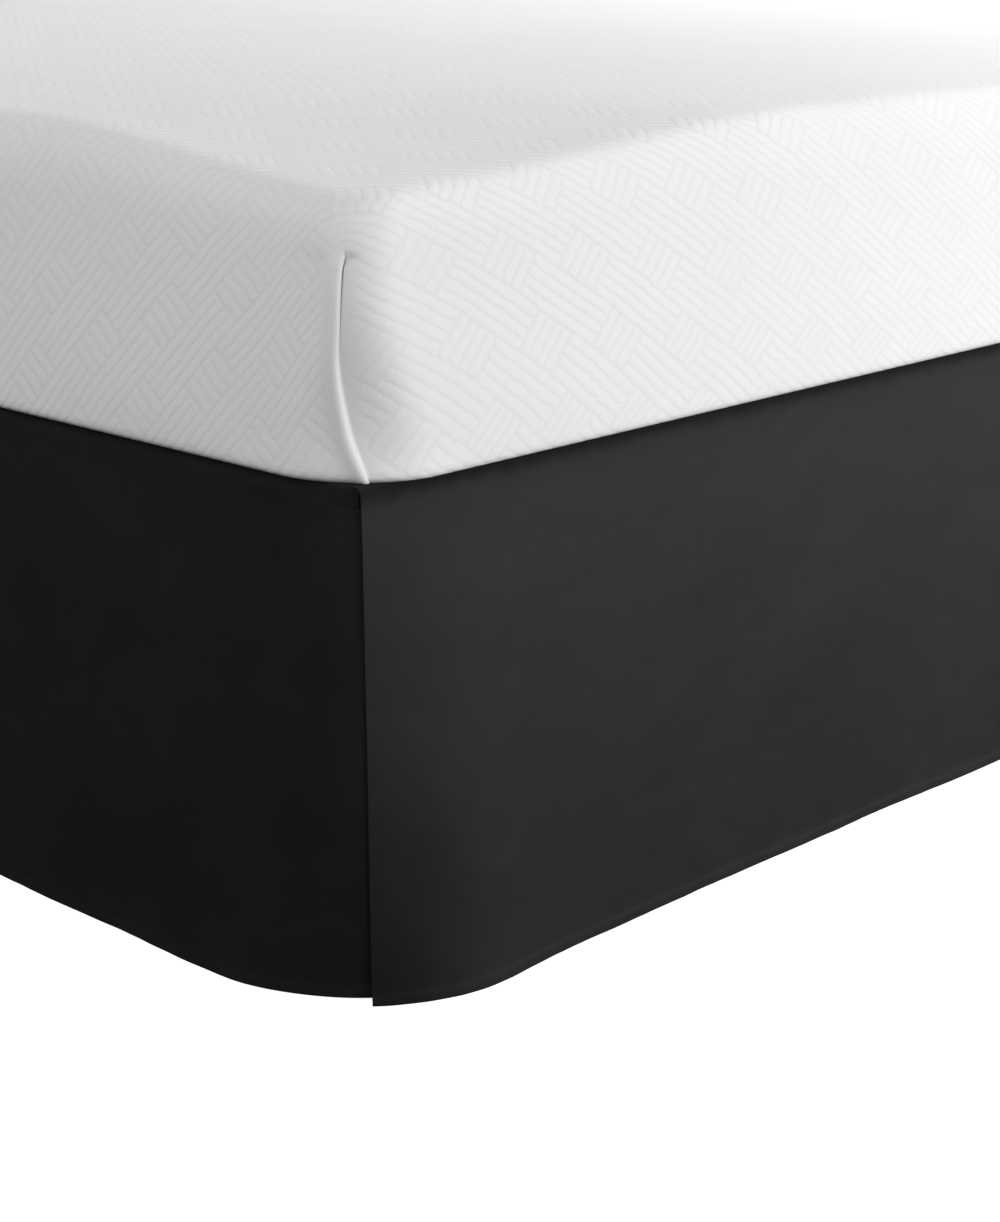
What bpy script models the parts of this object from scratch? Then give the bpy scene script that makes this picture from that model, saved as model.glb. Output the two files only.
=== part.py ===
"""Tailored bed skirt with split corners, on a box foundation under its mattress.

Metres, +Z up. The origin is on the floor under the middle of the bed. X runs across the bed and
Y along it: the foot is at -Y, and the head, which the skirt leaves open, is at +Y.
"""
import math

import bmesh
import bpy

# Mattress: a queen size, 60 by 80 inches
MATTRESS_WIDTH = 1.524
MATTRESS_LENGTH = 2.032
MATTRESS_EDGE_HEIGHT = 0.198      # from the underside to where the top rounds off
MATTRESS_CROWN = 0.010            # the middle above that edge
MATTRESS_CORNER = 0.066           # plan radius
MATTRESS_CORNER_DROP = 0.024      # the edge sinks towards each corner
CORNER_DROP_REACH_X = 0.32        # and does so from here across the bed
CORNER_DROP_REACH_Y = 0.45        # and from here along it
CONTOUR_ROUNDING = 0.35           # the crown's contours are rounder than the sides, per inset

# Skirt
DROP = 0.3533                     # 14 inches from seam to hem, less what the seam takes up
CLOTH = 0.0012
HEM_THICKNESS = 0.0020
HEM_DEPTH = 0.012
HEM_CLEARANCE = 0.006             # side hems above the floor
FOOT_SHORTER = 0.003              # the foot panel hangs a little higher
ROLL = 0.008                      # the drop turns down over the bed's edge, radius to mid cloth
OVERHANG = 0.005                  # the mattress stands out past the top of the drops
HEM_FLARE = 0.011                 # the hems stand out past the top of the drops
SKIRT_CORNER_TOP = 0.030
SKIRT_CORNER_HEM = 0.1275
SPLIT_TOP = math.radians(-43.9)   # where a side panel ends on the foot corner's arc
SPLIT_HEM = math.radians(-42.4)
HEAD_RETURN = math.radians(40)    # how far a side panel turns round the head corner
TUCK = 0.0036                     # the foot panel lies this far behind the side panels
TUCK_FULL = math.radians(14)      # and does so from here to the split
FREE_CORNER_DROP = 0.0018         # a side panel's free corner hangs a little low
FREE_CORNER_REACH = 0.11
FLAP_TURN = math.radians(20)      # the foot panel's hidden flap behind each side panel

# Foundation and legs
FOUNDATION_HEIGHT = 0.190
FOUNDATION_CORNER = 0.080
FOUNDATION_EDGE = 0.014           # rounded enough for the roll to clear it
CLOTH_TO_EDGE = 0.0022            # hanging cloth keeps off the foundation's sides
LEG_TOP, LEG_FOOT = 0.060, 0.042  # square section
LEG_INSET_X, LEG_INSET_Y = 0.095, 0.120
LEG_ROUNDING = 0.004

GAP = 0.0003                      # between pieces that touch
SEAM_GAP = 0.0006                 # deck to drops, also where their arcs are stepped differently

SEAM_Z = HEM_CLEARANCE + DROP - ROLL * (math.pi / 2 - 1)   # middle of the deck cloth
SKIRT_HALF_X = MATTRESS_WIDTH / 2 - OVERHANG               # middle of the cloth, below the roll
SKIRT_HALF_Y = MATTRESS_LENGTH / 2 - OVERHANG
FOUNDATION_TOP = SEAM_Z - CLOTH / 2 - GAP
FOUNDATION_BOTTOM = FOUNDATION_TOP - FOUNDATION_HEIGHT
FOUNDATION_HALF_X = SKIRT_HALF_X - CLOTH / 2 - CLOTH_TO_EDGE
FOUNDATION_HALF_Y = SKIRT_HALF_Y - CLOTH / 2 - CLOTH_TO_EDGE
MATTRESS_BOTTOM = SEAM_Z + CLOTH / 2 + GAP

# A drop from seam to hem. Columns: fall (0 at the roll's end, 1 at the hem), in the hem or not.
DROP_ROWS = (
    (0.00, False),
    (0.10, False),
    (0.22, False),
    (0.36, False),
    (0.50, False),
    (0.64, False),
    (0.77, False),
    (0.88, False),
    (1 - HEM_DEPTH / DROP, False),
    (1 - 0.7 * HEM_DEPTH / DROP, True),
    (1.00, True),
)
ROLL_STEPS = 3
EDGE_STEPS = 3                    # round the foundation's edges
CORNER_STEPS = 6                  # round each corner of the closed pieces
SWELL_GROWTH = 1.4                # how the swells grow from the roll to the hem

# Broad swells of the hanging cloth, full at the hem. Columns: centre along the panel's hem in
# metres, from the foot corner or from the middle of the foot, half width, push outwards.
SIDE_SWELLS = (
    (0.118, 0.070, 0.0040),
    (0.330, 0.120, -0.0012),
    (0.690, 0.150, 0.0040),
    (0.960, 0.130, -0.0015),
    (1.270, 0.160, 0.0035),
    (1.560, 0.120, -0.0020),
    (1.830, 0.130, 0.0030),
)
FOOT_SWELLS = (
    (-0.580, 0.080, 0.0022),
    (-0.330, 0.130, -0.0020),
    (0.060, 0.170, 0.0030),
    (0.340, 0.120, -0.0026),
    (0.590, 0.085, 0.0022),
)

# Side section of the mattress. Columns: inset from the side, height as a share of the edge's
# height, plus a share of the crown.
MATTRESS_ROWS = (
    (0.060, 0.000, 0.0),
    (0.0045, 0.000, 0.0),
    (0.0010, 0.012, 0.0),
    (0.000, 0.035, 0.0),
    (-0.002, 0.250, 0.0),
    (-0.002, 0.520, 0.0),
    (0.000, 0.780, 0.0),
    (0.002, 0.890, 0.0),
    (0.006, 0.950, 0.0),
    (0.013, 0.985, 0.0),
    (0.024, 1.000, 0.04),
    (0.050, 1.000, 0.20),
    (0.110, 1.000, 0.48),
    (0.190, 1.000, 0.76),
    (0.300, 1.000, 0.93),
    (0.430, 1.000, 1.00),
)


def material(name, color, roughness, metallic=0.0):
    mat = bpy.data.materials.new(name)
    mat.use_nodes = True
    shader = mat.node_tree.nodes["Principled BSDF"]
    shader.inputs["Base Color"].default_value = (*color, 1.0)
    shader.inputs["Roughness"].default_value = roughness
    shader.inputs["Metallic"].default_value = metallic
    return mat


def walk(keys, steps):
    """Stations between key stations. A station is (x side, y side, turn): the corner centre that
    it belongs to, from -1 to 1 each way, and the angle that it faces."""
    stations = []
    for start, end, count in zip(keys, keys[1:], steps):
        for i in range(count):
            share = i / count
            stations.append(tuple(a + (b - a) * share for a, b in zip(start, end)))
    stations.append(keys[-1])
    return stations


def place(station, half_x, half_y, radius):
    """A station's point on the rounded rectangle of that size."""
    side_x, side_y, turn = station
    x = side_x * (half_x - radius) + radius * math.cos(turn)
    y = side_y * (half_y - radius) + radius * math.sin(turn)
    return x, y


def closed_walk(long_steps, short_steps):
    """Stations once round the bed, the last one left out because it is the first again."""
    quarter = math.pi / 2
    keys = [(1, -1, -quarter), (1, -1, 0), (1, 1, 0), (1, 1, quarter), (-1, 1, quarter),
            (-1, 1, 2 * quarter), (-1, -1, 2 * quarter), (-1, -1, 3 * quarter), (1, -1, 3 * quarter)]
    return walk(keys, [CORNER_STEPS, long_steps, CORNER_STEPS, short_steps] * 2)[:-1]


def add_object(name, bm, mat):
    mesh = bpy.data.meshes.new(name)
    bm.to_mesh(mesh)
    bm.free()
    mesh.materials.append(mat)
    mesh.shade_smooth()
    mesh.set_sharp_from_angle(angle=math.radians(40))
    obj = bpy.data.objects.new(name, mesh)
    bpy.context.scene.collection.objects.link(obj)
    return obj


def loft(name, rings, mat):
    """A closed solid through rings of points, the lowest first, capped at both ends."""
    bm = bmesh.new()
    rows = [[bm.verts.new(point) for point in ring] for ring in rings]
    for low, high in zip(rows, rows[1:]):
        for i in range(len(low)):
            j = (i + 1) % len(low)
            bm.faces.new((low[i], low[j], high[j], high[i]))
    bm.faces.new(reversed(rows[0]))
    bm.faces.new(rows[-1])
    return add_object(name, bm, mat)


def bump(distance, half_width):
    """1 at the middle, falling smoothly to 0 at half_width."""
    share = min(abs(distance) / half_width, 1.0)
    return (1 + math.cos(math.pi * share)) / 2


def swell(along, swells):
    return sum(push * bump(along - centre, width) for centre, width, push in swells)


# ---- mattress and what carries it ----------------------------------------------------------------

def mattress_ring(inset, edge_share, crown_share):
    half_x = MATTRESS_WIDTH / 2 - inset
    half_y = MATTRESS_LENGTH / 2 - inset
    radius = MATTRESS_CORNER + CONTOUR_ROUNDING * inset
    ring = []
    for station in closed_walk(12, 9):
        x, y = place(station, half_x, half_y, radius)
        from_corner = math.hypot((MATTRESS_WIDTH / 2 - abs(x)) / CORNER_DROP_REACH_X,
                                 (MATTRESS_LENGTH / 2 - abs(y)) / CORNER_DROP_REACH_Y)
        edge = MATTRESS_EDGE_HEIGHT
        edge -= MATTRESS_CORNER_DROP * edge_share ** 2 * bump(from_corner, 1.0)
        z = MATTRESS_BOTTOM + edge_share * edge + crown_share * MATTRESS_CROWN
        ring.append((x, y, z))
    return ring


def make_mattress(mat):
    loft("mattress", [mattress_ring(*row) for row in MATTRESS_ROWS], mat)


def make_foundation(mat):
    stations = closed_walk(1, 1)
    rows = []
    for step in range(EDGE_STEPS + 1):
        tilt = math.pi / 2 * step / EDGE_STEPS
        rows.append((FOUNDATION_EDGE * (1 - math.sin(tilt)),
                     FOUNDATION_BOTTOM + FOUNDATION_EDGE * (1 - math.cos(tilt))))
    rows += [(inset, FOUNDATION_TOP + FOUNDATION_BOTTOM - z) for inset, z in reversed(rows)]
    rings = []
    for inset, z in rows:
        outline = [place(station, FOUNDATION_HALF_X - inset, FOUNDATION_HALF_Y - inset,
                         FOUNDATION_CORNER - inset) for station in stations]
        rings.append([(x, y, z) for x, y in outline])
    loft("foundation", rings, mat)


def make_leg(name, x, y, mat):
    """A plain square leg that tapers to its foot."""
    rings = []
    for size, z in ((LEG_FOOT, 0.0), (LEG_TOP, FOUNDATION_BOTTOM - GAP)):
        half = size / 2
        corners = ((half, -half), (half, half), (-half, half), (-half, -half))
        rings.append([(x + dx, y + dy, z) for dx, dy in corners])
    leg = loft(name, rings, mat)
    edges = leg.modifiers.new("edges", "BEVEL")
    edges.width = LEG_ROUNDING
    edges.segments = 2
    edges.limit_method = "ANGLE"


def make_legs(mat):
    x = FOUNDATION_HALF_X - LEG_INSET_X
    y = FOUNDATION_HALF_Y - LEG_INSET_Y
    for row_name, leg_y in (("foot", -y), ("middle", 0.0), ("head", y)):
        make_leg("leg_" + row_name + "_right", x, leg_y, mat)
        make_leg("leg_" + row_name + "_left", -x, leg_y, mat)


# ---- skirt ---------------------------------------------------------------------------------------

def make_deck(mat):
    """The flat platform, which ends at the seams of the drops."""
    inset = ROLL + SEAM_GAP
    outline = [place(station, SKIRT_HALF_X - inset, SKIRT_HALF_Y - inset, SKIRT_CORNER_TOP - inset)
               for station in closed_walk(1, 1)]
    rings = [[(x, y, SEAM_Z + side * CLOTH / 2) for x, y in outline] for side in (-1, 1)]
    loft("deck", rings, mat)


def drop_rows():
    """Columns: inset from the hanging cloth, height, fall, in the hem or not."""
    rows = []
    for step in range(ROLL_STEPS):
        turn = math.pi / 2 * step / ROLL_STEPS
        rows.append((ROLL * (1 - math.sin(turn)), SEAM_Z - ROLL * (1 - math.cos(turn)), 0.0, False))
    top = SEAM_Z - ROLL
    for fall, in_hem in DROP_ROWS:
        rows.append((0.0, top - fall * (top - HEM_CLEARANCE), fall, in_hem))
    return rows


def drop_point(station, row, push, lift):
    """A point of hanging cloth: it flares to the hem, where its corner is rounder."""
    inset, z, fall, _ = row
    flare = HEM_FLARE * fall - inset
    radius = SKIRT_CORNER_TOP + (SKIRT_CORNER_HEM - SKIRT_CORNER_TOP) * fall - inset
    x, y = place(station, SKIRT_HALF_X + flare, SKIRT_HALF_Y + flare, radius)
    x += push * math.cos(station[2])
    y += push * math.sin(station[2])
    return x, y, z + lift * fall


def make_sheet(name, columns, rows_of, mat):
    """A cloth sheet through columns of points. A column may start below the first row. The hem
    rows are thicker."""
    bm = bmesh.new()
    layer = bm.verts.layers.deform.verify()
    grid = []
    for points in columns:
        column = []
        for point, row in zip(points, rows_of):
            vert = bm.verts.new(point) if point else None
            if vert:
                vert[layer][0] = 1.0 if row[3] else CLOTH / HEM_THICKNESS
            column.append(vert)
        grid.append(column)
    for first, second in zip(grid, grid[1:]):
        for i in range(len(rows_of) - 1):
            corners = (first[i], first[i + 1], second[i + 1], second[i])
            if all(corners):
                bm.faces.new(corners)
    sheet = add_object(name, bm, mat)
    sheet.vertex_groups.new(name="thickness")
    thicken = sheet.modifiers.new("cloth", "SOLIDIFY")
    thicken.thickness = HEM_THICKNESS
    thicken.offset = 0.0
    thicken.use_even_offset = True
    thicken.use_quality_normals = True
    thicken.vertex_group = "thickness"


def make_side_drop(name, side, mat):
    """A side panel, from its return at the head corner to its free edge at the split."""
    rows = drop_rows()
    keys = [(1, 1, HEAD_RETURN), (1, 1, 0), (1, -1, 0), (1, -1, SPLIT_TOP)]
    columns = []
    for station in walk(keys, [5, 26, 7]):
        points = []
        for row in rows:
            fall = row[2]
            turn = station[2]
            if turn < 0:
                turn *= (SPLIT_TOP + (SPLIT_HEM - SPLIT_TOP) * fall) / SPLIT_TOP
            along = (1 + station[1]) * (SKIRT_HALF_Y - SKIRT_CORNER_HEM)
            along += SKIRT_CORNER_HEM * (1 + turn)
            push = fall ** SWELL_GROWTH * swell(along, SIDE_SWELLS)
            from_edge = max(along - SKIRT_CORNER_HEM * (1 + SPLIT_HEM), 0.0)
            lift = -FREE_CORNER_DROP * bump(from_edge, FREE_CORNER_REACH)
            x, y, z = drop_point((1, station[1], turn), row, push, lift)
            points.append((side * x, y, z))
        columns.append(points)
    if side > 0:
        columns.reverse()
    make_sheet(name, columns, rows, mat)


def foot_reach(station, fall):
    """How far a station of the foot panel has turned from the straight foot. Its split follows the
    side panels' leaning free edges."""
    reach = station[2] + math.pi / 2
    split = math.pi / 2 + SPLIT_TOP
    if abs(reach) > split:
        reach += math.copysign((SPLIT_HEM - SPLIT_TOP) * fall, reach)
    else:
        reach *= 1 + (SPLIT_HEM - SPLIT_TOP) / split * fall
    return reach


def make_foot_drop(mat):
    """The foot panel, which runs on behind each side panel as a flap below the roll."""
    rows = drop_rows()
    split = SPLIT_TOP - SEAM_GAP / SKIRT_CORNER_TOP
    keys = [(-1, -1, -math.pi - split - FLAP_TURN), (-1, -1, -math.pi - split), (-1, -1, -math.pi / 2),
            (1, -1, -math.pi / 2), (1, -1, split), (1, -1, split + FLAP_TURN)]
    columns = []
    for station in walk(keys, [5, 7, 20, 7, 5]):
        on_flap = abs(station[2] + math.pi / 2) > split + math.pi / 2 + 1e-6
        points = []
        for row in rows:
            fall = row[2]
            if on_flap and fall < DROP_ROWS[1][0]:
                points.append(None)
                continue
            reach = foot_reach(station, fall)
            along = station[0] * (SKIRT_HALF_X - SKIRT_CORNER_HEM) + SKIRT_CORNER_HEM * reach
            push = fall ** SWELL_GROWTH * swell(along, FOOT_SWELLS)
            if fall > 0:
                tuck_start = math.pi / 2 + SPLIT_HEM - TUCK_FULL
                push -= TUCK * bump(max(tuck_start - abs(reach), 0.0), tuck_start)
            turned = (station[0], station[1], reach - math.pi / 2)
            points.append(drop_point(turned, row, push, FOOT_SHORTER))
        columns.append(points)
    columns.reverse()
    make_sheet("drop_foot", columns, rows, mat)


def main():
    for obj in list(bpy.data.objects):
        bpy.data.objects.remove(obj, do_unlink=True)
    skirt = material("skirt_cloth", (0.020, 0.020, 0.021), 0.85)
    deck = material("deck_cloth", (0.80, 0.79, 0.77), 0.90)
    cover = material("mattress_cover", (0.86, 0.86, 0.86), 0.85)
    box = material("foundation_cloth", (0.62, 0.61, 0.59), 0.90)
    wood = material("leg_wood", (0.030, 0.022, 0.018), 0.45)
    make_mattress(cover)
    make_foundation(box)
    make_legs(wood)
    make_deck(deck)
    make_side_drop("drop_side_right", 1, skirt)
    make_side_drop("drop_side_left", -1, skirt)
    make_foot_drop(skirt)


main()
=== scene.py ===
import math

import bmesh
import bpy
from mathutils import Matrix, Vector, noise


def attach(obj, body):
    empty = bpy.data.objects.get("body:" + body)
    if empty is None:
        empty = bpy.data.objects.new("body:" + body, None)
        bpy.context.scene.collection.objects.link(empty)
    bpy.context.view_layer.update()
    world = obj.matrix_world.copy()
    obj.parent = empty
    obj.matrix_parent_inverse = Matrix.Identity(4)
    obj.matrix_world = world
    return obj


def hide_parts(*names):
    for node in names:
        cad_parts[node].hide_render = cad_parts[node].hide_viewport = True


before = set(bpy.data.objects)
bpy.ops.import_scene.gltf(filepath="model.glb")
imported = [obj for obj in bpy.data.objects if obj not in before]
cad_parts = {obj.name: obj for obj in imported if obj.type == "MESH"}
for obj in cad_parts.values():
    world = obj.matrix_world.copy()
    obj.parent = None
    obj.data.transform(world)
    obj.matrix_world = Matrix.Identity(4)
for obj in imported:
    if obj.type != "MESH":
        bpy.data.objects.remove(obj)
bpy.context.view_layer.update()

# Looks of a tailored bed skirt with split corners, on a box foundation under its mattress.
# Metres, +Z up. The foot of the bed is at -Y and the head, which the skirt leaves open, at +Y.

# ---- sizes that the CAD model has too ----------------------------------------------------------

MATTRESS_WIDTH = 1.524
MATTRESS_LENGTH = 2.032
MATTRESS_EDGE_HEIGHT = 0.198
MATTRESS_CROWN = 0.010
MATTRESS_CORNER = 0.066           # plan radius
MATTRESS_CORNER_DROP = 0.024      # the edge sinks towards each corner
CORNER_DROP_REACH_X = 0.32        # and does so from here across the bed
CORNER_DROP_REACH_Y = 0.45        # and from here along it
CONTOUR_ROUNDING = 0.35           # how much rounder a contour gets with its inset

DROP = 0.3533
CLOTH = 0.0012                    # thickness
HEM_THICKNESS = 0.0020
HEM_CLEARANCE = 0.006             # from the floor
FOOT_SHORTER = 0.003              # the foot panel, than the side panels
ROLL = 0.008                      # the CAD's bend under the mattress, which sets the seam's height
OVERHANG = 0.005                  # of the mattress over the skirt
HEM_FLARE = 0.011                 # how far the hem stands out
SKIRT_CORNER_TOP = 0.030          # plan radius at the seam
SKIRT_CORNER_HEM = 0.1275         # and at the hem
SPLIT_TOP = math.radians(-43.9)   # where the split is on the foot corner's arc
SPLIT_HEM = math.radians(-42.4)
HEAD_RETURN = math.radians(40)    # how far a side panel turns round the head corner
TUCK = 0.0036                     # how far the foot panel goes in behind a side panel
TUCK_FULL = math.radians(14)      # and does so from here to the split
FREE_CORNER_DROP = 0.0018         # a side panel's free corner hangs a little low
FREE_CORNER_REACH = 0.11
FLAP_TURN = math.radians(20)      # the foot panel's hidden flap behind each side panel
SWELL_GROWTH = 1.4                # power of the fall with which the swells grow

FOUNDATION_HEIGHT = 0.190
FOUNDATION_CORNER = 0.080
FOUNDATION_EDGE = 0.014
GAP = 0.0003                      # between pieces that lie on each other
SEAM_GAP = 0.0006                 # between pieces that are sewn to each other

# ---- finer sizes of this script's own ----------------------------------------------------------

BEND = 0.006                      # how sharply the cloth bends down under the mattress
PROUD = 0.0010                    # how far it stands out there
PROUD_UNTIL = 0.048               # and down to this share of the drop
SEAM_IN = 0.008                   # how far behind the bend its seam with the deck lies
SEAM_INSET = BEND - PROUD + SEAM_IN
HEM_DEPTH = 0.008
FLAP_START = 0.02                 # the foot panel's flap starts at this share of the drop
CLOTH_TO_EDGE = 0.0062            # from the hanging cloth to the foundation

SEAM_Z = HEM_CLEARANCE + DROP - ROLL * (math.pi / 2 - 1)
SKIRT_HALF_X = MATTRESS_WIDTH / 2 - OVERHANG
SKIRT_HALF_Y = MATTRESS_LENGTH / 2 - OVERHANG
FOUNDATION_TOP = SEAM_Z - CLOTH / 2 - GAP
FOUNDATION_BOTTOM = FOUNDATION_TOP - FOUNDATION_HEIGHT
FOUNDATION_HALF_X = SKIRT_HALF_X - CLOTH / 2 - CLOTH_TO_EDGE
FOUNDATION_HALF_Y = SKIRT_HALF_Y - CLOTH / 2 - CLOTH_TO_EDGE
MATTRESS_BOTTOM = SEAM_Z + CLOTH / 2 + GAP

# Broad swells of the hanging cloth, full at the hem: centre along the hem, half width, push.
SIDE_SWELLS = (
    (0.118, 0.070, 0.0040),
    (0.330, 0.120, -0.0012),
    (0.690, 0.150, 0.0040),
    (0.960, 0.130, -0.0015),
    (1.270, 0.160, 0.0035),
    (1.560, 0.120, -0.0020),
    (1.830, 0.130, 0.0030),
)
FOOT_SWELLS = (
    (-0.580, 0.080, 0.0022),
    (-0.330, 0.130, -0.0020),
    (0.060, 0.170, 0.0030),
    (0.340, 0.120, -0.0026),
    (0.590, 0.085, 0.0022),
)

# Side section of the mattress from its bottom rim to the middle of its top: inset from the side,
# share of the edge's height, share of the crown.
MATTRESS_SECTION = (
    (0.0015, 0.000, 0.0),
    (-0.0015, 0.012, 0.0),
    (-0.0028, 0.035, 0.0),
    (-0.0040, 0.250, 0.0),
    (-0.0035, 0.520, 0.0),
    (-0.0020, 0.780, 0.0),
    (0.0006, 0.880, 0.0),
    (0.0045, 0.938, 0.0),
    (0.0095, 0.972, 0.0),
    (0.0165, 0.993, 0.0),
    (0.026, 1.000, 0.05),
    (0.050, 1.000, 0.20),
    (0.110, 1.000, 0.48),
    (0.190, 1.000, 0.76),
    (0.300, 1.000, 0.93),
    (0.430, 1.000, 1.00),
    (0.762, 1.000, 1.00),
)
EDGE_ROW = 8                      # the section's row where the side turns into the top


# ---- camera ------------------------------------------------------------------------------------

CAMERA_PLACE = Vector((1.8274, -2.0430, 0.7212))
CAMERA_YAW = math.radians(42.7828)
CAMERA_PITCH = math.radians(16.4532)
CAMERA_ROLL = math.radians(0.4915)
CAMERA_LENS = 75.67


def make_camera():
    """It stands where the photograph was taken from."""
    forward = Vector((-math.sin(CAMERA_YAW) * math.cos(CAMERA_PITCH),
                      math.cos(CAMERA_YAW) * math.cos(CAMERA_PITCH),
                      -math.sin(CAMERA_PITCH)))
    level = Vector((math.cos(CAMERA_YAW), math.sin(CAMERA_YAW), 0.0))
    above = level.cross(forward)
    right = level * math.cos(CAMERA_ROLL) + above * math.sin(CAMERA_ROLL)
    up = above * math.cos(CAMERA_ROLL) - level * math.sin(CAMERA_ROLL)
    data = bpy.data.cameras.new("camera")
    data.lens = CAMERA_LENS
    data.sensor_width = 36.0
    data.clip_end = 100.0
    camera = bpy.data.objects.new("camera", data)
    turn = Matrix((right, up, -forward)).transposed()
    camera.matrix_world = Matrix.Translation(CAMERA_PLACE) @ turn.to_4x4()
    bpy.context.scene.collection.objects.link(camera)
    bpy.context.scene.camera = camera


# ---- small helpers -----------------------------------------------------------------------------

def smooth(low, high, value):
    """0 at low and 1 at high, softly. low may be the greater one."""
    share = min(max((value - low) / (high - low), 0.0), 1.0)
    return share * share * (3 - 2 * share)


def bump(distance, half_width):
    """1 at the middle, falling smoothly to 0 at half_width."""
    share = min(abs(distance) / half_width, 1.0)
    return (1 + math.cos(math.pi * share)) / 2


def swell(along, swells):
    """How far the cloth's broad swells push it out, at the hem."""
    return sum(push * bump(along - centre, width) for centre, width, push in swells)


def mix(a, b, share):
    return tuple(p + (q - p) * share for p, q in zip(a, b))


def track(knots):
    """A smooth curve through knots (x, value, ...), as a function that gives the values at x."""
    xs = [knot[0] for knot in knots]
    values = [knot[1:] for knot in knots]
    last = len(knots) - 1
    slopes = []
    for i in range(last + 1):
        before, after = max(i - 1, 0), min(i + 1, last)
        run = xs[after] - xs[before]
        slopes.append([(b - a) / run for a, b in zip(values[before], values[after])])

    def at(x):
        x = min(max(x, xs[0]), xs[-1])
        i = 0
        while i < last - 1 and x > xs[i + 1]:
            i += 1
        width = xs[i + 1] - xs[i]
        t = (x - xs[i]) / width
        start, leave = 2 * t ** 3 - 3 * t ** 2 + 1, (t ** 3 - 2 * t ** 2 + t) * width
        end, arrive = 3 * t ** 2 - 2 * t ** 3, (t ** 3 - t ** 2) * width
        return [start * a + leave * m + end * b + arrive * n for a, m, b, n
                in zip(values[i], slopes[i], values[i + 1], slopes[i + 1])]
    return at


def walk(keys, steps):
    """Stations between key stations. A station is (x side, y side, turn): the corner centre that
    it belongs to, and how far it is turned round that."""
    stations = []
    for start, end, count in zip(keys, keys[1:], steps):
        stations += [mix(start, end, i / count) for i in range(count)]
    return stations + [keys[-1]]


def place(station, half_x, half_y, radius):
    """A station's point on the rounded rectangle of that size."""
    side_x, side_y, turn = station
    x = side_x * (half_x - radius) + radius * math.cos(turn)
    y = side_y * (half_y - radius) + radius * math.sin(turn)
    return x, y


def closed_walk(long_steps, short_steps, corner_steps):
    """Stations all round a rounded rectangle, from its foot right corner."""
    quarter = math.pi / 2
    keys = [(1, -1, -quarter), (1, -1, 0), (1, 1, 0), (1, 1, quarter), (-1, 1, quarter),
            (-1, 1, 2 * quarter), (-1, -1, 2 * quarter), (-1, -1, 3 * quarter),
            (1, -1, 3 * quarter)]
    return walk(keys, [corner_steps, long_steps, corner_steps, short_steps] * 2)[:-1]


def add_object(name, bm, mat, smooth_angle=None):
    mesh = bpy.data.meshes.new(name)
    bm.to_mesh(mesh)
    bm.free()
    mesh.materials.append(mat)
    mesh.shade_smooth()
    if smooth_angle:
        mesh.set_sharp_from_angle(angle=math.radians(smooth_angle))
    obj = bpy.data.objects.new(name, mesh)
    bpy.context.scene.collection.objects.link(obj)
    return obj


def select_only(*objects):
    """Selects these alone, the last as the active one."""
    bpy.ops.object.select_all(action="DESELECT")
    for obj in objects:
        obj.select_set(True)
        bpy.context.view_layer.objects.active = obj


def skin(bm, rows, closed=False):
    """Faces between neighbouring rows of vertices, and where closed also between the ends of each
    row. None leaves a hole."""
    count = len(rows[0])
    for low, high in zip(rows, rows[1:]):
        for i in range(count if closed else count - 1):
            j = (i + 1) % count
            corners = (low[i], low[j], high[j], high[i])
            if all(corners):
                bm.faces.new(corners)


def lay_flat(bm, layout_of):
    """The flat layout that a cloth's pattern follows. layout_of gives a face's vertex its place."""
    layout = bm.loops.layers.uv.new("cloth")
    for face in bm.faces:
        for loop in face.loops:
            loop[layout].uv = layout_of(face, loop.vert)


def thicken(sheet, thickness, offset, even, sharp_angle):
    """Makes a cloth as thick as this where its vertices' weight is 1."""
    sheet.vertex_groups.new(name="thickness")
    cloth = sheet.modifiers.new("cloth", "SOLIDIFY")
    cloth.thickness = thickness
    cloth.offset = offset
    cloth.use_even_offset = even
    cloth.use_quality_normals = even
    cloth.vertex_group = "thickness"
    select_only(sheet)
    bpy.ops.object.modifier_apply(modifier=cloth.name)
    sheet.select_set(False)
    sheet.vertex_groups.clear()
    sheet.data.set_sharp_from_angle(angle=math.radians(sharp_angle))


# ---- materials ---------------------------------------------------------------------------------

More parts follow.
